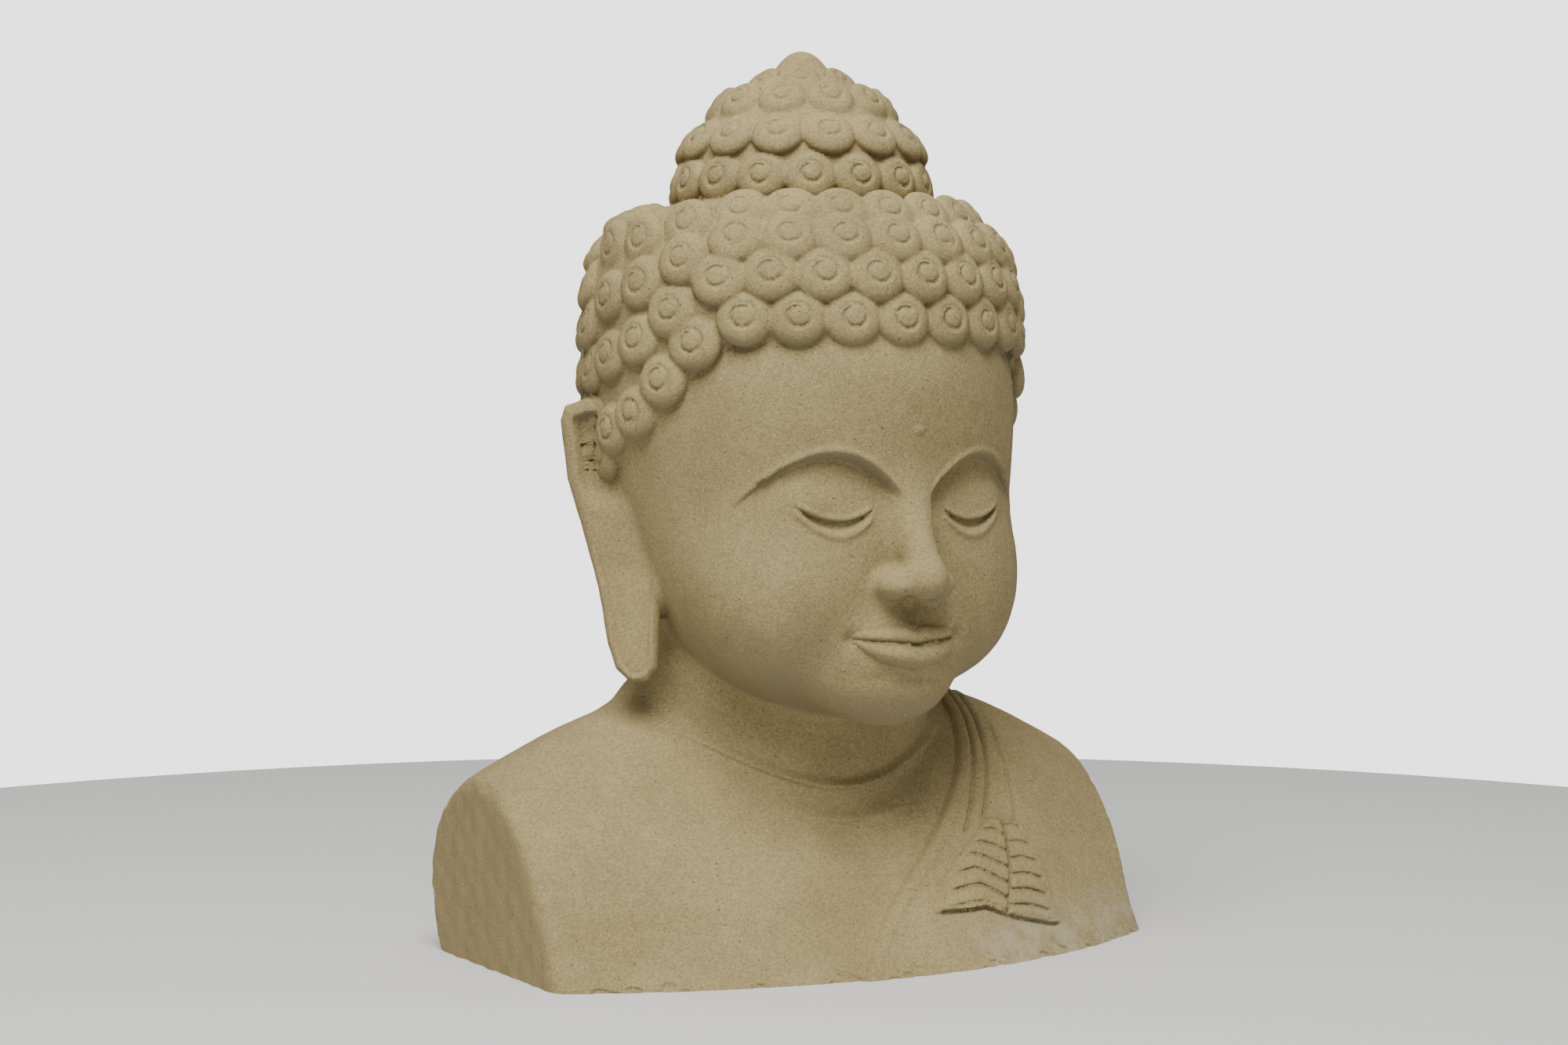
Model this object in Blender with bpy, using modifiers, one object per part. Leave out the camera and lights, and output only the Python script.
"""Cement bust of a buddha, cast in one piece and cut flat below.

All sizes are metres. The underside lies on z = 0 below the middle of the head, the face
looks along -Y and the statue's own left shoulder, with the robe, is on +X.
The body is laid out from plain forms, joined to one skin, and then every point of that
skin is moved onto the carved surface, which is worked out from the named sizes.
"""
import math

import bmesh
import bpy
import numpy as np
from mathutils import Matrix, Vector

# Height of the casting, which is the pattern below scaled up or down
OVERALL_HEIGHT = 0.600

# Overall sizes of the pattern
ARM_CUT_X = 0.2277
ARM_CUT_ROUNDING = 0.008
RIDGE_Y = 0.012
UNDERSIDE_ALLOWANCE = 0.012
NODE_NAME = "bust"

# Torso
NECK_FOOT_HEIGHT = 0.180
CUT_HEIGHT = 0.118
CHEST_DEPTH = 0.160
RIGHT_CUT_DEPTH = 0.106
LEFT_CUT_DEPTH = 0.091
CHEST_CURVE = 1.08
RIGHT_CUT_CURVE = 1.68
LEFT_CUT_CURVE = 1.85
RIGHT_FLARE = 0.095
LEFT_FLARE = 0.130
FLARE_HEIGHT = 0.040
BACK_DEPTH = 0.098
CUT_BACK_DEPTH = 0.081
BACK_WIDEST_Z = 0.048
BACK_TUCK = 0.20

# Neck
NECK_HALF_WIDTH = 0.090
NECK_FRONT_DEPTH = 0.068
NECK_BACK_DEPTH = 0.080
NAPE_FLARE = 0.024
NAPE_FLARE_TOP_Z = 0.245
NAPE_FLARE_HEIGHT = 0.075
NECK_TUCK = 0.050
NECK_TUCK_TOP_Z = 0.150
NECK_TUCK_HEIGHT = 0.090
NECK_Y = -0.002
NECK_RISE = 0.050
NECK_FOOT_Z = 0.055
NECK_TOP_Z = 0.260
NAPE_FILLET = 0.034
LOWER_RING_Z = 0.1430
UPPER_RING_Z = 0.1640
RING_STEP = 0.0042
RING_LEDGE = 0.006

# Head: heights of the face are measured up from the underside of the chin
CHIN_Z = 0.155
HEAD_Y = -0.017
FACE_HEIGHT = 0.245
BROW_HEIGHT = 0.176
EYE_HEIGHT = 0.137
NOSE_HEIGHT = 0.0825
MOUTH_HEIGHT = 0.055
EYE_WIDTH = 0.050
EYE_MIDDLE = 0.051
MOUTH_HALF_WIDTH = 0.038
BROW_RECESS = 0.0095
LID_OPENING = 0.0050

# Hair
HAIR_Y = -0.0135
HAIR_HALF_WIDTH = 0.1445
HAIR_HALF_DEPTH = 0.1420
HAIR_WIDEST_Z = 0.372
HAIR_RISE = 0.1265
HAIR_DROP = 0.165
HAIR_CURVE = 4.4
HAIRLINE_Z = 0.400
HAIRLINE_TEMPLE_Z = 0.343
HAIRLINE_EAR_Z = 0.318
HAIRLINE_NAPE_Z = 0.240
CURL_HALF_WIDTH = 0.0190
CURL_HALF_HEIGHT = 0.0178
CURL_STAND = 0.0100
CURL_TILT = math.radians(10)
CURL_CREASE = 0.0024

# Crown of the head and its knob
CROWN_Y = -0.0145
CROWN_Z = 0.505
CROWN_RADIUS = 0.0820
CROWN_HEIGHT = 0.081
CROWN_CURVE = 1.9
KNOB_STAND = 0.014
KNOB_RADIUS = 0.0165
KNOB_HALF_HEIGHT = 0.0160
KNOB_Z = CROWN_Z + CROWN_HEIGHT + KNOB_STAND - KNOB_HALF_HEIGHT

# Ears
EAR_LENGTH = 0.188
EAR_TOP_Z = 0.368
EAR_WIDTH = 0.057
EAR_ROOT_X = 0.120
EAR_HALF_THICKNESS = 0.0085
EAR_SWING = math.radians(49)
EAR_RIM = 0.0085
EAR_HOLLOW = 0.0095

# Robe on the left shoulder
ROBE_STEP = 0.0030
FOLD_DEPTH = 0.0024
FOLD_WIDTH = 0.0018
STOLE_STAND = 0.0030
STOLE_TOP_Z = 0.087
STOLE_FOOT_Z = 0.031
STOLE_PLEAT = 0.0102

# Fineness of the faceting
ROUGH_VOXEL = 0.0040
SKIN_VOXEL = 0.0026
FACE_TRIANGLES = 2500
TRIANGLES = 9700

# Colour of the sand cement
CEMENT_COLOUR = (0.445, 0.360, 0.235, 1.0)
CEMENT_ROUGHNESS = 0.93


def blend_min(a, b, k):
    """Union of two distance arrays with a fillet of width k."""
    h = np.clip(0.5 + 0.5 * (b - a) / k, 0.0, 1.0)
    return b * (1.0 - h) + a * h - k * h * (1.0 - h)


def blend_max(a, b, k):
    """Overlap of two distance arrays with a rounding of width k."""
    return -blend_min(-a, -b, k)


def ease(x):
    """Smooth step from 0 to 1."""
    x = np.clip(x, 0.0, 1.0)
    return x * x * (3.0 - 2.0 * x)


def bump(x, width):
    """Bell of height one."""
    return np.exp(-(x / width) ** 2)


def ellipsoid(p, centre, radii):
    """Distance to an ellipsoid, close to true near its surface."""
    q = p - np.array(centre)
    r = np.array(radii)
    k0 = np.sqrt(((q / r) ** 2).sum(1)) + 1e-9
    k1 = np.sqrt(((q / (r * r)) ** 2).sum(1)) + 1e-9
    return k0 * (k0 - 1.0) / k1


def round_cone(p, a, b, radius_a, radius_b):
    """Distance to a tapered bar with round ends."""
    a = np.array(a)
    ab = np.array(b) - a
    t = np.clip(((p - a) @ ab) / (ab @ ab), 0.0, 1.0)
    axis = a + t[:, None] * ab
    return np.linalg.norm(p - axis, axis=1) - (radius_a + (radius_b - radius_a) * t)


def right_side(p):
    """The points with the left half folded onto the right half."""
    return np.stack([-np.abs(p[:, 0]), p[:, 1], p[:, 2]], 1)


def bezier(p0, p1, p2, p3, steps=20):
    """Points of a cubic curve in the plane."""
    t = np.linspace(0.0, 1.0, steps)[:, None]
    a, b, c, d = (np.array(v) for v in (p0, p1, p2, p3))
    u = 1.0 - t
    return u ** 3 * a + 3.0 * u * u * t * b + 3.0 * u * t * t * c + t ** 3 * d


def line_distance(u, v, points):
    """Distance to a drawn line, positive on its left, and the share of its length."""
    best = np.full(u.shape, 1e9)
    side = np.ones(u.shape)
    share = np.zeros(u.shape)
    last = len(points) - 1
    for i in range(last):
        a = points[i]
        e = points[i + 1] - a
        wu = u - a[0]
        wv = v - a[1]
        t = np.clip((wu * e[0] + wv * e[1]) / (e @ e), 0.0, 1.0)
        d = (wu - e[0] * t) ** 2 + (wv - e[1] * t) ** 2
        near = d < best
        best = np.where(near, d, best)
        side = np.where(near, np.sign(e[0] * wv - e[1] * wu), side)
        share = np.where(near, (i + t) / last, share)
    return np.sqrt(best) * side, share


def outline_distance(u, v, points):
    """Distance to a closed outline, negative inside."""
    best = np.full(u.shape, 1e9)
    sign = np.ones(u.shape)
    for i in range(len(points)):
        a = points[i]
        b = points[i - 1]
        e = b - a
        wu = u - a[0]
        wv = v - a[1]
        t = np.clip((wu * e[0] + wv * e[1]) / (e @ e), 0.0, 1.0)
        best = np.minimum(best, (wu - e[0] * t) ** 2 + (wv - e[1] * t) ** 2)
        over = v >= a[1]
        under = v < b[1]
        left = e[0] * wv > e[1] * wu
        cross = (over & under & left) | (~over & ~under & ~left)
        sign = np.where(cross, -sign, sign)
    return sign * np.sqrt(best)


def torso_profile(x):
    """Sizes of the torso's cross section at a distance from the middle."""
    s = np.clip(np.abs(x) / ARM_CUT_X, 0.0, 1.15)
    left = x > 0.0
    cut_depth = np.where(left, LEFT_CUT_DEPTH, RIGHT_CUT_DEPTH)
    cut_curve = np.where(left, LEFT_CUT_CURVE, RIGHT_CUT_CURVE)
    flare = RIGHT_FLARE + np.where(left, LEFT_FLARE - RIGHT_FLARE, 0.0) * s ** 2
    top = CUT_HEIGHT + (NECK_FOOT_HEIGHT - CUT_HEIGHT) * (1.0 - s ** 2.2)
    front = CHEST_DEPTH - (CHEST_DEPTH - cut_depth) * s ** 2
    curve = CHEST_CURVE + (cut_curve - CHEST_CURVE) * s ** 1.1
    back = BACK_DEPTH - (BACK_DEPTH - CUT_BACK_DEPTH) * s ** 2
    return top, front, curve, flare, back


def torso_form(p):
    """Distance to the chest, shoulders and back without the robe."""
    top, front, curve, flare, back = torso_profile(p[:, 0])
    z = np.maximum(p[:, 2], 0.0)
    dy = p[:, 1] - RIDGE_Y
    swell = 1.0 + flare * np.clip(1.0 - z / FLARE_HEIGHT, 0.0, 1.0) ** 2
    rho_front = (np.abs(dy / (front * swell)) ** curve + (z / top) ** curve) ** (1.0 / curve) + 1e-9
    rise = np.maximum(z - BACK_WIDEST_Z, 0.0)
    tuck = 1.0 - BACK_TUCK * np.clip((BACK_WIDEST_Z - z) / BACK_WIDEST_Z, 0.0, 1.0) ** 2
    rho_back = np.sqrt((dy / (back * tuck)) ** 2 + (rise / (top - BACK_WIDEST_Z)) ** 2) + 1e-9
    d_front = np.sqrt(dy ** 2 + z ** 2) * (1.0 - 1.0 / rho_front)
    d_back = np.sqrt(dy ** 2 + rise ** 2) * (1.0 - 1.0 / rho_back)
    d_back = np.where(rho_back < 0.2, -0.05, d_back)
    return np.where(dy < 0.0, d_front, d_back) * 0.85


ROBE_EDGE = bezier((0.121, 0.190), (0.119, 0.120), (0.062, 0.090), (-0.055, -0.012))
ROBE_FOLDS = (
    (bezier((0.134, 0.185), (0.122, 0.145), (0.108, 0.118), (0.076, 0.079), 14), 0.35),
    (bezier((0.143, 0.175), (0.126, 0.140), (0.120, 0.118), (0.095, 0.087), 14), 0.35),
    (bezier((0.140, 0.140), (0.130, 0.118), (0.130, 0.100), (0.119, 0.080), 14), 0.60),
)


def stole_relief(x, z):
    """Height of the pleated end of the stole that hangs on the chest."""
    span = np.clip((z - STOLE_FOOT_Z) / 0.055, 0.0, 1.0)
    left = STOLE_FOOT_Z + 0.064 * span ** 1.5
    right = 0.132 - 0.011 * np.clip((z - 0.020) / 0.062, 0.0, 1.0) ** 3
    middle = 0.106 - 0.020 * np.clip((0.085 - z) / 0.057, 0.0, 1.0) ** 1.6
    foot = np.interp(x, [0.031, 0.071, 0.088, 0.122], [0.033, 0.034, 0.027, 0.019])
    foot = foot + 0.0012 * np.sin(x / 0.0032)
    top = STOLE_TOP_Z - 0.18 * np.clip(x - 0.095, 0.0, 0.03)
    inside = np.minimum(np.minimum(x - left, right - x) * 0.8, np.minimum(z - foot, top - z))
    on = ease(0.5 + inside / 0.0024)
    across = np.where(x < middle, (x - left) / np.maximum(middle - left, 0.001),
                      (right - x) / np.maximum(right - middle, 0.001))
    count = (z - foot - 0.0025 * np.sin(np.clip(across, 0.0, 1.0) * 3.1)) / STOLE_PLEAT
    layer = 1.0 - (count - np.floor(count))
    pleat = 0.0012 * layer * ease((z - foot - 0.003) / 0.003)
    span = ease((x - 0.033) / 0.006) * ease((0.132 - x) / 0.006)
    rim = 0.0018 * bump(z - foot + 0.0012, 0.0016) * span
    return on * (STOLE_STAND - 0.0006 + pleat - 0.0026 * bump(x - middle, 0.0017)) - rim


def robe_relief(p):
    """Height of the robe over the bare torso."""
    relief = np.zeros(len(p))
    near = (p[:, 0] > -0.08) & (p[:, 2] < 0.20)
    x = p[near, 0]
    z = p[near, 2]
    front = p[near, 1] < RIDGE_Y
    inside, _ = line_distance(x, z, ROBE_EDGE)
    h = ROBE_STEP * ease(0.5 + inside / 0.0035) + 0.0018 * bump(inside - 0.004, 0.0028)
    for curve, keep in ROBE_FOLDS:
        d, share = line_distance(x, z, curve)
        depth = np.clip(1.0 - share, keep, 1.0) ** 0.5 * np.where(front, 1.0, 0.5)
        h = h + depth * (0.0010 * bump(d - 0.0045, 0.003) - FOLD_DEPTH * bump(d, FOLD_WIDTH))
    h = h + np.where(front, stole_relief(x, z), 0.0)
    relief[near] = h
    return relief


def neck_form(p):
    """Distance to the neck with its two rings, which sink towards the front."""
    y = p[:, 1] - NECK_Y
    r = np.sqrt(p[:, 0] ** 2 + y ** 2) + 1e-9
    facing = -y / r
    z = p[:, 2] + NECK_RISE * facing * np.where(facing > 0.0, 1.0, 0.6)
    flare = NAPE_FLARE * ease((NAPE_FLARE_TOP_Z - p[:, 2]) / NAPE_FLARE_HEIGHT)
    flare = flare - NECK_TUCK * ease((NECK_TUCK_TOP_Z - p[:, 2]) / NECK_TUCK_HEIGHT)
    deep = np.where(y < 0.0, NECK_FRONT_DEPTH, NECK_BACK_DEPTH + flare)
    wide = NECK_HALF_WIDTH + 0.4 * flare
    k = np.sqrt((p[:, 0] / wide) ** 2 + (y / deep) ** 2) + 1e-9
    d = r * (1.0 - 1.0 / k)
    for ring_z in (LOWER_RING_Z, UPPER_RING_Z):
        d = d - RING_STEP * ease((ring_z - z) / RING_LEDGE + 0.5)
        d = d - 0.3 * RING_STEP * bump(z - ring_z + 0.6 * RING_LEDGE, 0.6 * RING_LEDGE)
    return blend_max(d, p[:, 2] - NECK_TOP_Z, 0.01)


# The head is laid out on a canon whose face is 0.245 tall and then takes the pattern's size
HEAD_SCALE = FACE_HEIGHT / 0.245
BROW = BROW_HEIGHT / HEAD_SCALE
EYE = EYE_HEIGHT / HEAD_SCALE
NOSE = NOSE_HEIGHT / HEAD_SCALE
MOUTH = MOUTH_HEIGHT / HEAD_SCALE
LIPS = MOUTH_HALF_WIDTH / HEAD_SCALE
EYE_X = EYE_MIDDLE / HEAD_SCALE
EYE_SPAN = EYE_WIDTH / HEAD_SCALE
CRANIUM = ((0.0, 0.004, 0.212), (0.139, 0.138, 0.128))
FACE_FRONT = ((0.0, -0.022, 0.128), (0.1225, 0.113, 0.130))
FOREHEAD = ((0.0, -0.047, 0.220), (0.106, 0.092, 0.082))
CHEEK = ((-0.061, -0.076, 0.087), (0.048, 0.047, 0.056))
CHIN = ((0.0, -0.102, 0.030), (0.042, 0.031, 0.030))


def skull_form(q):
    """Distance to the bare head; q is measured from the underside of the chin."""
    d = blend_min(ellipsoid(q, *CRANIUM), ellipsoid(q, *FACE_FRONT), 0.05)
    d = blend_min(d, ellipsoid(q, *FOREHEAD), 0.03)
    d = blend_min(d, ellipsoid(right_side(q), *CHEEK), 0.035)
    return blend_min(d, ellipsoid(q, *CHIN), 0.035)


def mouth_relief(q):
    """Height of the closed lips and of the hollows round them."""
    x = np.abs(q[:, 0])
    z = q[:, 2]
    s = np.clip(x / LIPS, 0.0, 1.0)
    line = MOUTH + 0.0030 * s ** 2.5 - 0.0012 * bump(x, 0.007)
    taper = np.clip(1.0 - s ** 2.2, 0.0, 1.0) ** 0.7
    upper = line + (0.0115 - 0.0022 * bump(x, 0.0045)) * (0.25 + 0.75 * taper)
    lower = line - 0.0155 * (0.25 + 0.75 * np.clip(1.0 - (s / 0.94) ** 2.3, 0.0, 1.0) ** 0.75)
    up = np.clip((z - line) / (upper - line), 0.0, 1.0)
    down = np.clip((line - z) / (line - lower), 0.0, 1.0)
    upper_lip = 0.0046 * taper * (4.0 * up * (1.0 - up)) ** 0.75
    lower_lip = 0.0068 * taper * (4.0 * down * (1.0 - down)) ** 0.70
    h = np.where(z >= line, upper_lip, lower_lip)
    h = h + 0.0085 * np.exp(-(x / 0.034) ** 2.5 - ((z - MOUTH - 0.001) / 0.026) ** 2)
    h = h - 0.0012 * bump(z - line, 0.0022) * ease((LIPS + 0.004 - x) / 0.008)
    h = h - 0.0026 * bump(x - LIPS - 0.001, 0.0050) * bump(z - MOUTH - 0.003, 0.0055)
    h = h - 0.0030 * bump(x, 0.024) * bump(z - MOUTH + 0.0215, 0.0060)
    groove = ease((z - MOUTH - 0.009) / 0.005) * ease((NOSE + 0.001 - z) / 0.006)
    return h - 0.0016 * bump(x, 0.0046) * groove


def face_form(q, d):
    """The bare head with brows, downcast lids, nose, mouth and the mark on the forehead."""
    x = np.abs(q[:, 0])
    z = q[:, 2]
    front = ease((-q[:, 1] - 0.02) / 0.04)
    m = right_side(q)
    under = BROW - 0.024 * ((x - 0.055) / 0.043) ** 2 - z
    side = ease((x - 0.008) / 0.010) * ease((0.112 - x) / 0.03) * front
    depth = BROW_RECESS * np.exp(-(np.clip(under, 0.0, None) / 0.030) ** 1.6)
    depth = depth * (0.45 + 0.55 * ease((0.085 - x) / 0.06))
    d = d + depth * ease(under / 0.0060) * side - 0.0014 * bump(under + 0.001, 0.0030) * side
    d = blend_min(d, ellipsoid(m, (-EYE_X - 0.001, -0.1005, EYE + 0.0065),
                               (0.0335, 0.0260, 0.0235)), 0.007)
    s = np.clip((x - EYE_X + 0.5 * EYE_SPAN) / EYE_SPAN, 0.0, 1.0)
    inside = ease((x - 0.024) / 0.007) * ease((0.081 - x) / 0.010) * front
    sag = 4.0 * s * (1.0 - s)
    upper = EYE + 0.0035 + 0.002 * s - 0.0085 * sag
    lower = upper - 0.0030 - LID_OPENING * sag
    d = d + 0.0028 * ease((upper - z) / 0.0026) * ease((z - lower) / 0.0034) * inside
    d = d - 0.0010 * bump(z - upper - 0.0018, 0.0022) * inside
    d = d - 0.0016 * bump(z - lower + 0.0026, 0.0030) * inside
    d = d - mouth_relief(q) * front
    bridge = round_cone(q, (0.0, -0.1240, 0.165), (0.0, -0.1510, 0.099), 0.0085, 0.0120)
    d = blend_min(d, bridge, 0.016)
    wings = blend_min(ellipsoid(m, (-0.0165, -0.1385, 0.0925), (0.0105, 0.0150, 0.0100)),
                      ellipsoid(q, (0.0, -0.1525, 0.0955), (0.0130, 0.0130, 0.0115)), 0.010)
    d = blend_min(d, wings, 0.009)
    d = blend_max(d, -ellipsoid(m, (-0.0095, -0.1475, 0.0820), (0.0050, 0.0065, 0.0038)), 0.003)
    return blend_min(d, ellipsoid(q, (0.0, -0.1395, 0.190), (0.0050, 0.0060, 0.0050)), 0.003)


def ear_outline():
    """Outline of one ear flap in its own plane: outwards, then up."""
    w = EAR_WIDTH
    top = EAR_TOP_Z
    n = EAR_LENGTH
    shares = (
        (-0.53, 0.030), (0.18, 0.000), (0.70, 0.006), (0.97, 0.034), (1.03, 0.085),
        (0.95, 0.290), (0.79, 0.435), (0.55, 0.675), (0.41, 0.865), (0.31, 0.950), (0.13, 1.000),
        (-0.08, 0.992), (-0.19, 0.945), (-0.21, 0.730), (-0.25, 0.515), (-0.53, 0.410),
    )
    return np.array([(w * a, top - n * b) for a, b in shares])


EAR_OUTLINE = ear_outline()
EAR_OUT = Vector((-math.cos(EAR_SWING) - 0.10, math.sin(EAR_SWING) - 0.10, 0.0)).normalized()
EAR_FACING = Vector((-EAR_OUT.y, EAR_OUT.x, 0.0)) * 1.0


def ear_plane(p):
    """The points of the right ear in its own plane: outwards, up, and forwards."""
    m = right_side(p)
    rel_x = m[:, 0] + EAR_ROOT_X
    rel_y = m[:, 1] - HEAD_Y
    u = rel_x * EAR_OUT.x + rel_y * EAR_OUT.y
    w = rel_x * EAR_FACING.x + rel_y * EAR_FACING.y
    return u, m[:, 2], w


def ear_form(p):
    """Distance to the two long-lobed ears."""
    d = np.full(len(p), 0.05)
    near = (np.abs(p[:, 0]) > 0.07) & (p[:, 2] > 0.15) & (p[:, 2] < 0.40)
    u, v, w = ear_plane(p[near])
    out = outline_distance(u, v, EAR_OUTLINE)
    bow = 0.010 * np.clip((0.27 - v) / 0.09, 0.0, 1.0) - 0.006 * np.clip(u / 0.05, 0.0, 1.0) ** 2
    w = w - bow
    slab = blend_max(out, np.abs(w) - EAR_HALF_THICKNESS, 0.009)
    hollow = ease((-out - EAR_RIM) / 0.008) * ease((v - 0.292) / 0.02) * ease((w + 0.004) / 0.006)
    lobe = ease((-out - 0.0045) / 0.003) * ease((0.275 - v) / 0.02) * ease((w + 0.002) / 0.004)
    d[near] = slab + EAR_HOLLOW * hollow + 0.0022 * lobe
    return d


def hairline(angle):
    """Height of the hairline at an angle from the front, in degrees."""
    temple = HAIRLINE_Z - HAIRLINE_TEMPLE_Z
    ear = HAIRLINE_TEMPLE_Z - HAIRLINE_EAR_Z
    nape = HAIRLINE_EAR_Z - HAIRLINE_NAPE_Z
    return np.interp(np.abs(angle), [0, 46, 54, 62, 72, 82, 92, 110, 140, 180],
                     [HAIRLINE_Z, HAIRLINE_Z, HAIRLINE_Z - 0.12 * temple, HAIRLINE_Z - 0.53 * temple,
                      HAIRLINE_TEMPLE_Z, HAIRLINE_TEMPLE_Z - 0.84 * ear, HAIRLINE_EAR_Z,
                      HAIRLINE_EAR_Z - 0.23 * nape, HAIRLINE_EAR_Z - 0.72 * nape, HAIRLINE_NAPE_Z])


def hair_share(z):
    """Share of the hair's full radius at a height."""
    up = np.clip((z - HAIR_WIDEST_Z) / HAIR_RISE, 0.0, 1.0)
    down = np.clip((HAIR_WIDEST_Z - z) / HAIR_DROP, 0.0, 1.0)
    return (1.0 - up ** HAIR_CURVE) ** (1.0 / HAIR_CURVE) * np.sqrt(1.0 - down ** 2)


def crown_radius(z):
    """Radius of the crown at a height."""
    t = np.clip((z - CROWN_Z) / CROWN_HEIGHT, 0.0, 1.0)
    return CROWN_RADIUS * (1.0 - t ** CROWN_CURVE) ** (1.0 / CROWN_CURVE)


def hair_form(p):
    """Distance to the hair and crown below the curls, cut off along the hairline."""
    y = p[:, 1] - HAIR_Y
    rad = np.sqrt((p[:, 0] / HAIR_HALF_WIDTH) ** 2 + (y / HAIR_HALF_DEPTH) ** 2)
    up = np.clip((p[:, 2] - HAIR_WIDEST_Z) / HAIR_RISE, 0.0, None)
    down = np.clip((HAIR_WIDEST_Z - p[:, 2]) / HAIR_DROP, 0.0, None)
    above = (rad ** HAIR_CURVE + up ** HAIR_CURVE) ** (1.0 / HAIR_CURVE)
    rho = np.where(p[:, 2] > HAIR_WIDEST_Z, above, np.sqrt(rad ** 2 + down ** 2))
    angle = np.degrees(np.arctan2(np.abs(p[:, 0]), -y))
    hair = blend_max((rho - 1.0) * 0.135, (hairline(angle) - p[:, 2]) * 0.75, 0.006)
    q = p - np.array((0.0, CROWN_Y, CROWN_Z))
    ring = (np.sqrt(q[:, 0] ** 2 + q[:, 1] ** 2) / CROWN_RADIUS) ** CROWN_CURVE
    rho = (ring + (np.abs(q[:, 2]) / CROWN_HEIGHT) ** CROWN_CURVE) ** (1.0 / CROWN_CURVE)
    knob = ellipsoid(q, (0.0, 0.0, KNOB_Z - CROWN_Z),
                     (KNOB_RADIUS, KNOB_RADIUS, KNOB_HALF_HEIGHT))
    return blend_min(hair, blend_min((rho - 1.0) * 0.075, knob, 0.003), 0.004)


def surface_spot(angle, z, half_width, half_depth, centre_y, share):
    """A point of a turned form and the direction it faces."""
    a = math.radians(angle)
    s = float(share(z))
    slope = (float(share(z + 1e-4)) - float(share(z - 1e-4))) / 2e-4 * 0.5 * (half_width + half_depth)
    place = Vector((math.sin(a) * half_width * s, centre_y - math.cos(a) * half_depth * s, z))
    return place, Vector((math.sin(a), -math.cos(a), -slope)).normalized()


def curl_places():
    """Place, facing and size of every curl, rows along the hairline first."""
    curls = []

    def add(place, facing, width, room=0.66):
        if all((place - other[0]).length > room * (width + other[2]) for other in curls):
            curls.append((place, facing, width))

    def hair_spot(angle, z):
        return surface_spot(angle, z, HAIR_HALF_WIDTH, HAIR_HALF_DEPTH, HAIR_Y, hair_share)

    arc = math.radians(1.0) * HAIR_HALF_WIDTH
    for up, fall, pitch, start in ((0.340, 0.85, 13.6, -3.4), (0.557, 0.60, 13.6, 3.2),
                                   (0.747, 0.42, 14.8, -3.4), (0.893, 0.22, 15.7, -1.8)):
        for side in (1, -1):
            angle = start if side == 1 else start - pitch
            while abs(angle) < 98.0:
                drop = fall * (HAIRLINE_Z - float(hairline(angle)))
                add(*hair_spot(angle, HAIR_WIDEST_Z + up * HAIR_RISE - drop), CURL_HALF_WIDTH)
                slope = (float(hairline(angle + 1.0)) - float(hairline(angle - 1.0))) * 0.5 * fall / arc
                angle += side * pitch / math.sqrt(1.0 + slope * slope)
    for row, up in enumerate((0.893, 0.747, 0.557, 0.340, 0.113, -0.110, -0.336, -0.562, -0.785)):
        z = HAIR_WIDEST_Z + up * HAIR_RISE
        count = max(6, round(2.0 * math.pi * HAIR_HALF_WIDTH * float(hair_share(z)) / (1.80 * CURL_HALF_WIDTH)))
        for i in range(count):
            angle = (360.0 + (i + 0.5 * (row % 2)) * 360.0 / count) % 360.0 - 180.0
            if abs(angle) > 86.0 and z > float(hairline(angle)) + 0.57 * CURL_HALF_WIDTH:
                add(*hair_spot(angle, z), CURL_HALF_WIDTH)
    for up, count, size, start in ((0.058, 16, 0.92, 18.6), (0.405, 14, 0.93, 9.0),
                                   (0.718, 11, 0.87, 21.9), (0.930, 7, 0.63, 21.1)):
        for i in range(count):
            z = CROWN_Z + up * CROWN_HEIGHT
            spot = surface_spot(start + 360.0 * i / count, z, 1.0, 1.0, CROWN_Y, crown_radius)
            add(*spot, size * CURL_HALF_WIDTH, 0.5)
    return curls


CURLS = curl_places()


def curl_axes(facing):
    """Across, up and outward directions of a curl whose lower rim stands proud."""
    up = (Vector((0.0, 0.0, 1.0)) - facing * facing.z).normalized()
    across = up.cross(facing)
    out = facing * math.cos(CURL_TILT) + up * math.sin(CURL_TILT)
    return across, up * math.cos(CURL_TILT) - facing * math.sin(CURL_TILT), out


def curls_added(p, d):
    """The hair with its rows of curls."""
    hair = np.nonzero(p[:, 2] > 0.22)[0]
    hair = hair[np.argsort(p[hair, 2], kind="stable")]
    q = p[hair]
    level = q[:, 2]
    values = d[hair]
    reach = 1.35 * CURL_HALF_WIDTH
    for place, facing, width in CURLS:
        low, high = np.searchsorted(level, (place.z - reach, place.z + reach))
        rel = q[low:high] - np.array(place)
        near = np.nonzero((np.abs(rel[:, 0]) < reach) & (np.abs(rel[:, 1]) < reach))[0]
        if len(near):
            local = rel[near] @ np.array([np.array(v) for v in curl_axes(facing)]).T
            s = width / CURL_HALF_WIDTH
            dome = ellipsoid(local, (0.0, -0.001, -0.001),
                             (width, CURL_HALF_HEIGHT * s, CURL_STAND * s))
            values[low + near] = blend_min(values[low + near], dome, CURL_CREASE)
    out = d.copy()
    out[hair] = values
    return out


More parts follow.
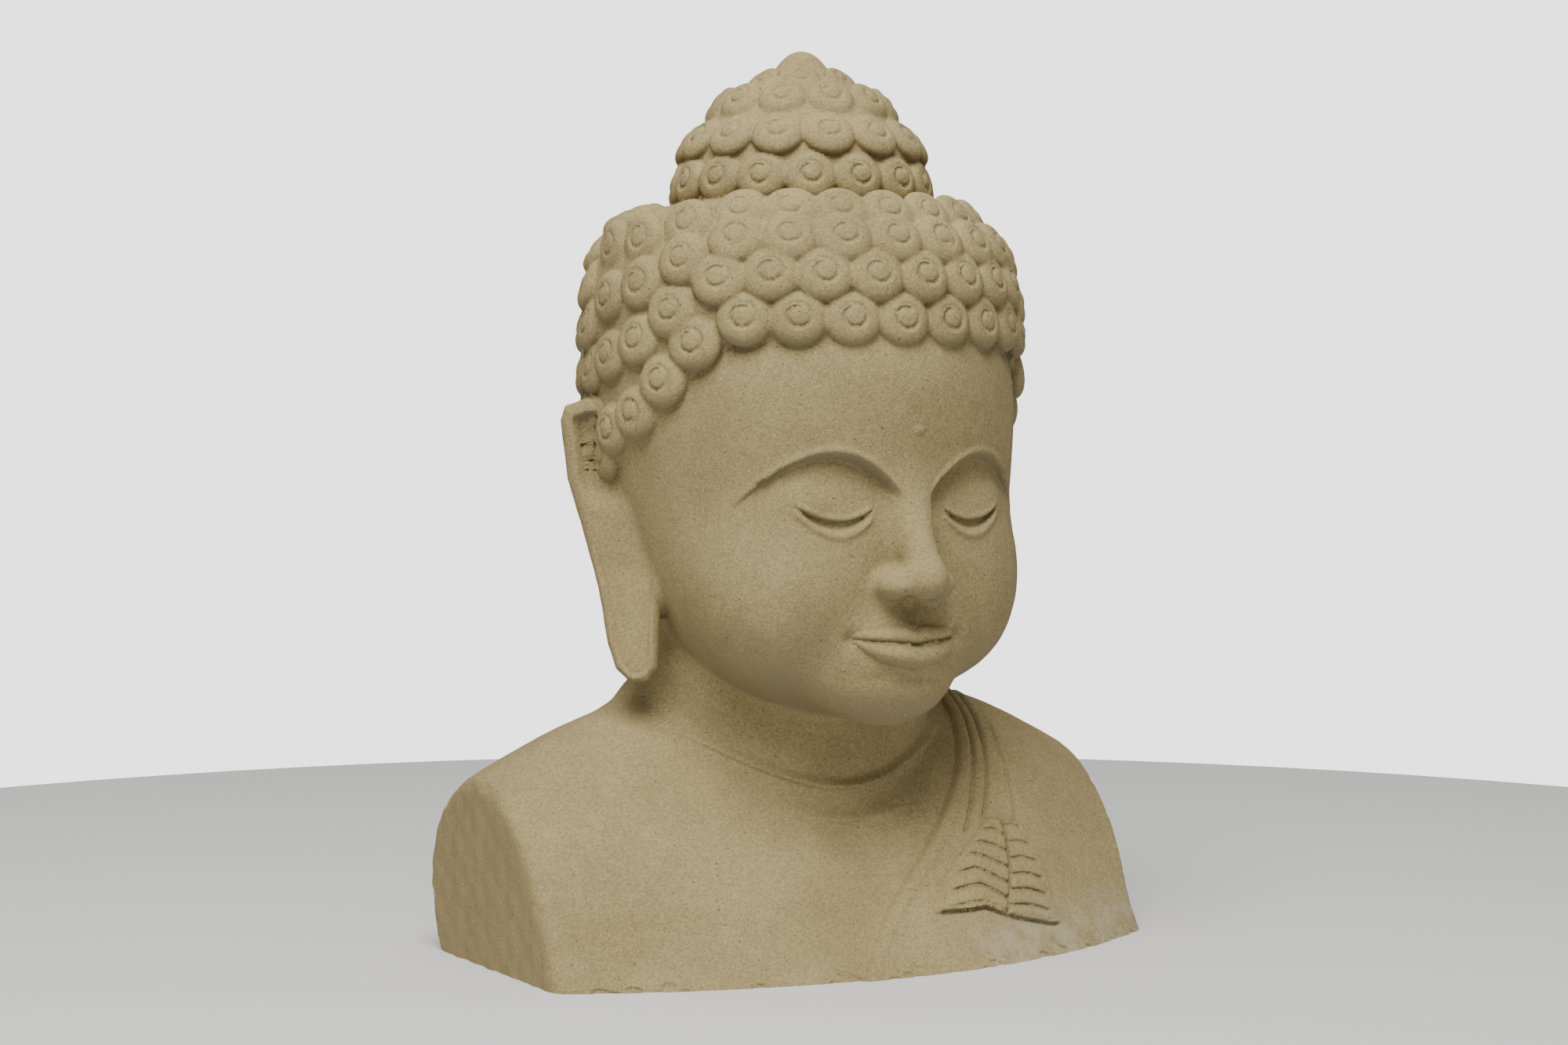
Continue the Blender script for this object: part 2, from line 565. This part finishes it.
def bust_form(p):
    """Distance from each point to the carved surface of the whole bust."""
    d = torso_form(p) - robe_relief(p)
    d = blend_max(d, np.abs(p[:, 0]) - ARM_CUT_X, ARM_CUT_ROUNDING)
    nape = ease((p[:, 1] + 0.035) / 0.070)
    d = blend_min(d, neck_form(p), 0.006 + NAPE_FILLET * nape)
    high = p[:, 2] > 0.65 * CHIN_Z
    ph = p[high]
    q = (ph - np.array((0.0, HEAD_Y, CHIN_Z))) / HEAD_SCALE
    head = blend_min(d[high], face_form(q, skull_form(q)) * HEAD_SCALE, 0.005)
    head = blend_min(head, ear_form(ph), 0.005)
    d[high] = blend_min(head, curls_added(ph, hair_form(ph)), 0.0015)
    return blend_max(d, -p[:, 2] - UNDERSIDE_ALLOWANCE, 0.002)


def round_ball(segments):
    """A ball of radius one as a mesh."""
    bm = bmesh.new()
    bmesh.ops.create_uvsphere(bm, u_segments=segments, v_segments=segments // 2, radius=1.0)
    mesh = bpy.data.meshes.new("round_ball")
    bm.to_mesh(mesh)
    bm.free()
    return mesh


def add_ball(bm, ball, centre, radii, axes=None):
    """Add a copy of the ball, stretched to three radii and set in place."""
    turn = Matrix.Identity(3) if axes is None else Matrix(axes).transposed()
    copy = ball.copy()
    copy.transform(Matrix.Translation(centre) @ turn.to_4x4() @ Matrix.Diagonal((*radii, 1.0)))
    bm.from_mesh(copy)
    bpy.data.meshes.remove(copy)


def add_loft(bm, sections):
    """Join cross sections of as many points each to one closed solid."""
    rings = [[bm.verts.new(place) for place in section] for section in sections]
    for a, b in zip(rings, rings[1:]):
        for j in range(len(a)):
            k = (j + 1) % len(a)
            bm.faces.new((a[j], a[k], b[k], b[j]))
    bm.faces.new(rings[0])
    bm.faces.new(list(reversed(rings[-1])))


def add_hair(bm, steps=48, levels=14):
    """Loft the hair below the curls through level rings."""
    turns = [2.0 * math.pi * i / steps for i in range(steps)]
    rings = []
    for i in range(levels + 1):
        a = 0.5 * math.pi * (2.0 * i / levels - 1.0)
        z = HAIR_WIDEST_Z + 0.985 * math.sin(a) * (HAIR_RISE if a > 0.0 else HAIR_DROP)
        s = float(hair_share(z))
        rings.append([(HAIR_HALF_WIDTH * s * math.cos(t), HAIR_Y + HAIR_HALF_DEPTH * s * math.sin(t), z)
                      for t in turns])
    add_loft(bm, rings)


def add_torso(bm, stations=40, half_steps=18):
    """Loft the chest and back through cross sections from arm cut to arm cut."""
    rings = []
    for i in range(stations + 1):
        x = ARM_CUT_X * (2.0 * i / stations - 1.0)
        top, front, curve, flare, back = (float(v) for v in torso_profile(np.array(x)))
        section = [(RIDGE_Y - front * (1.0 + flare), -UNDERSIDE_ALLOWANCE)]
        for j in range(half_steps + 1):
            a = 0.5 * math.pi * j / half_steps
            z = top * math.sin(a) ** (2.0 / curve)
            swell = 1.0 + flare * max(0.0, 1.0 - z / FLARE_HEIGHT) ** 2
            section.append((RIDGE_Y - front * swell * math.cos(a) ** (2.0 / curve), z))
        for j in range(1, half_steps + 1):
            a = 0.5 * math.pi * (1.0 - j / half_steps)
            section.append((RIDGE_Y + back * math.cos(a), BACK_WIDEST_Z + (top - BACK_WIDEST_Z) * math.sin(a)))
        section.append((RIDGE_Y + back * (1.0 - BACK_TUCK), 0.0))
        section.append((RIDGE_Y + back * (1.0 - BACK_TUCK), -UNDERSIDE_ALLOWANCE))
        rings.append([(x, y, z) for y, z in section])
    add_loft(bm, rings)


def add_ear(bm, side):
    """Cut one ear flap as a flat plate and give it its thickness."""
    verts = []
    middle = Vector((-EAR_ROOT_X, HEAD_Y, 0.0))
    for u, v in EAR_OUTLINE:
        place = middle + EAR_OUT * float(u) - EAR_FACING * (EAR_HALF_THICKNESS - 0.003)
        verts.append(bm.verts.new((side * place.x, place.y, float(v))))
    face = bm.faces.new(verts)
    depth = EAR_FACING * (2.0 * EAR_HALF_THICKNESS)
    pushed = bmesh.ops.extrude_face_region(bm, geom=[face])
    moved = [v for v in pushed["geom"] if isinstance(v, bmesh.types.BMVert)]
    bmesh.ops.translate(bm, verts=moved, vec=(side * depth.x, depth.y, 0.0))


def rough_out():
    """Lay out the plain forms of the bust as one mesh of overlapping closed solids."""
    bm = bmesh.new()
    add_torso(bm)
    back_shift = 0.5 * (NECK_BACK_DEPTH - NECK_FRONT_DEPTH)
    half_depth = 0.5 * (NECK_BACK_DEPTH + NECK_FRONT_DEPTH)
    middle = Matrix.Translation((0.0, NECK_Y + back_shift, 0.5 * (NECK_FOOT_Z + NECK_TOP_Z)))
    neck = middle @ Matrix.Diagonal((NECK_HALF_WIDTH, half_depth, NECK_TOP_Z - NECK_FOOT_Z, 1.0))
    bmesh.ops.create_cone(bm, cap_ends=True, segments=48, radius1=1.0, radius2=1.0, depth=1.0, matrix=neck)
    chin = Vector((0.0, HEAD_Y, CHIN_Z))
    large = round_ball(48)
    small = round_ball(16)
    mouth = ((0.0, -0.112, 0.058), (0.040, 0.028, 0.028))
    nose = ((0.0, -0.138, 0.100), (0.020, 0.026, 0.022))
    bridge = ((0.0, -0.122, 0.130), (0.014, 0.024, 0.045))
    for ball, (place, radii) in ((large, CRANIUM), (large, FACE_FRONT), (large, FOREHEAD),
                                 (small, CHIN), (small, mouth), (small, nose), (small, bridge)):
        add_ball(bm, ball, chin + HEAD_SCALE * Vector(place), HEAD_SCALE * Vector(radii))
    add_hair(bm)
    add_ball(bm, large, (0.0, CROWN_Y, CROWN_Z), (CROWN_RADIUS, CROWN_RADIUS, CROWN_HEIGHT))
    add_ball(bm, small, (0.0, CROWN_Y, KNOB_Z), (KNOB_RADIUS, KNOB_RADIUS, KNOB_HALF_HEIGHT))
    for place, facing, width in CURLS:
        s = width / CURL_HALF_WIDTH
        add_ball(bm, small, place, (width, CURL_HALF_HEIGHT * s, CURL_STAND * s), curl_axes(facing))
    for side in (1.0, -1.0):
        add_ear(bm, side)
    bmesh.ops.recalc_face_normals(bm, faces=bm.faces)
    mesh = bpy.data.meshes.new("rough_forms")
    bm.to_mesh(mesh)
    bm.free()
    bpy.data.meshes.remove(large)
    bpy.data.meshes.remove(small)
    return mesh


def evaluated(obj, name):
    """A new mesh with the object's modifiers worked in."""
    graph = bpy.context.evaluated_depsgraph_get()
    graph.update()
    mesh = bpy.data.meshes.new_from_object(obj.evaluated_get(graph))
    mesh.name = name
    return mesh


def replace_mesh(obj, mesh):
    """Give the object a new mesh and drop its modifiers and the old mesh."""
    old = obj.data
    obj.modifiers.clear()
    obj.data = mesh
    bpy.data.meshes.remove(old)


def carve(mesh, rounds=3, probe=0.0008, reach=0.006):
    """Move every point of the skin onto the carved surface."""
    count = len(mesh.vertices)
    co = np.empty(count * 3, dtype=np.float64)
    mesh.vertices.foreach_get("co", co)
    co = co.reshape(count, 3)
    for _ in range(rounds):
        here = bust_form(co)
        slope = np.empty_like(co)
        for axis in range(3):
            ahead = co.copy()
            ahead[:, axis] += probe
            slope[:, axis] = (bust_form(ahead) - here) / probe
        steep = np.maximum((slope ** 2).sum(1), 0.3)
        move = -(here / steep)[:, None] * slope
        length = np.linalg.norm(move, axis=1) + 1e-12
        co = co + move * np.minimum(1.0, reach / length)[:, None]
    mesh.vertices.foreach_set("co", co.ravel())
    mesh.update()


def one_skin(obj, voxel):
    """Join the overlapping forms into one closed skin of even quads."""
    skin = obj.modifiers.new("one_skin", "REMESH")
    skin.mode = "VOXEL"
    skin.voxel_size = voxel
    skin.use_smooth_shade = True
    replace_mesh(obj, evaluated(obj, "skin"))


def mesh_points(mesh):
    """The mesh's points as rows."""
    co = np.empty(len(mesh.vertices) * 3, dtype=np.float32)
    mesh.vertices.foreach_get("co", co)
    return co.reshape(-1, 3)


def knob_points(mesh):
    """Which points belong to the top of the knob."""
    return mesh_points(mesh)[:, 2] > KNOB_Z + 0.75 * KNOB_HALF_HEIGHT


def face_points(mesh):
    """Which points belong to the carved front of the face."""
    q = (mesh_points(mesh) - np.array((0.0, HEAD_Y, CHIN_Z))) / HEAD_SCALE
    level = (q[:, 2] > 0.020) & (q[:, 2] < BROW + 0.020)
    return level & (np.abs(q[:, 0]) < 0.095) & (q[:, 1] < -0.060)


def triangle_count(mesh, points=None):
    """Triangles of the mesh, or of its faces whose points are all in the choice."""
    if points is None:
        return sum(len(face.vertices) - 2 for face in mesh.polygons)
    return sum(len(face.vertices) - 2 for face in mesh.polygons if points[list(face.vertices)].all())


def facet(obj, points, triangles):
    """Thin out the chosen points until the whole mesh has a number of triangles."""
    group = obj.vertex_groups.new(name="thinned")
    group.add([int(i) for i in np.nonzero(points)[0]], 1.0, "REPLACE")
    facets = obj.modifiers.new("facets", "DECIMATE")
    facets.decimate_type = "COLLAPSE"
    facets.use_collapse_triangulate = True
    facets.vertex_group = group.name
    facets.ratio = triangles / triangle_count(obj.data)
    replace_mesh(obj, evaluated(obj, NODE_NAME))
    obj.vertex_groups.clear()


def add_cement(obj):
    """Give the casting its sand-coloured cement."""
    material = bpy.data.materials.new("sand_cement")
    material.use_nodes = True
    shader = material.node_tree.nodes["Principled BSDF"]
    shader.inputs["Base Color"].default_value = CEMENT_COLOUR
    shader.inputs["Metallic"].default_value = 0.0
    shader.inputs["Roughness"].default_value = CEMENT_ROUGHNESS
    obj.data.materials.clear()
    obj.data.materials.append(material)


def add_underside_cutter(collection):
    """A block whose top face is the plane the bust stands on."""
    bm = bmesh.new()
    size = (2.0 * OVERALL_HEIGHT, 2.0 * OVERALL_HEIGHT, OVERALL_HEIGHT)
    matrix = Matrix.Translation((0.0, 0.0, -0.5 * size[2])) @ Matrix.Diagonal((*size, 1.0))
    bmesh.ops.create_cube(bm, size=1.0, matrix=matrix)
    mesh = bpy.data.meshes.new("underside_cutter")
    bm.to_mesh(mesh)
    bm.free()
    cutter = bpy.data.objects.new("underside_cutter", mesh)
    cutter.display_type = "WIRE"
    cutter.hide_render = True
    collection.objects.link(cutter)
    return cutter


def main():
    """Build the bust in an emptied scene."""
    for obj in list(bpy.data.objects):
        bpy.data.objects.remove(obj, do_unlink=True)
    scene = bpy.context.scene
    casting = bpy.data.collections.new("cement_buddha_bust")
    cutters = bpy.data.collections.new("cutters")
    scene.collection.children.link(casting)
    scene.collection.children.link(cutters)
    cutters.hide_render = True

    bust = bpy.data.objects.new(NODE_NAME, rough_out())
    casting.objects.link(bust)
    for voxel in (ROUGH_VOXEL, SKIN_VOXEL):
        one_skin(bust, voxel)
        carve(bust.data)
    face = face_points(bust.data)
    spare = triangle_count(bust.data, face) - FACE_TRIANGLES
    facet(bust, face, triangle_count(bust.data) - spare)
    kept = face_points(bust.data) | knob_points(bust.data)
    facet(bust, ~kept, TRIANGLES)
    pattern_height = KNOB_Z + KNOB_HALF_HEIGHT
    bust.data.transform(Matrix.Scale(OVERALL_HEIGHT / pattern_height, 4))
    bust.data.shade_smooth()
    add_cement(bust)

    flat = bust.modifiers.new("flat_underside", "BOOLEAN")
    flat.operation = "DIFFERENCE"
    flat.solver = "EXACT"
    flat.object = add_underside_cutter(cutters)


main()
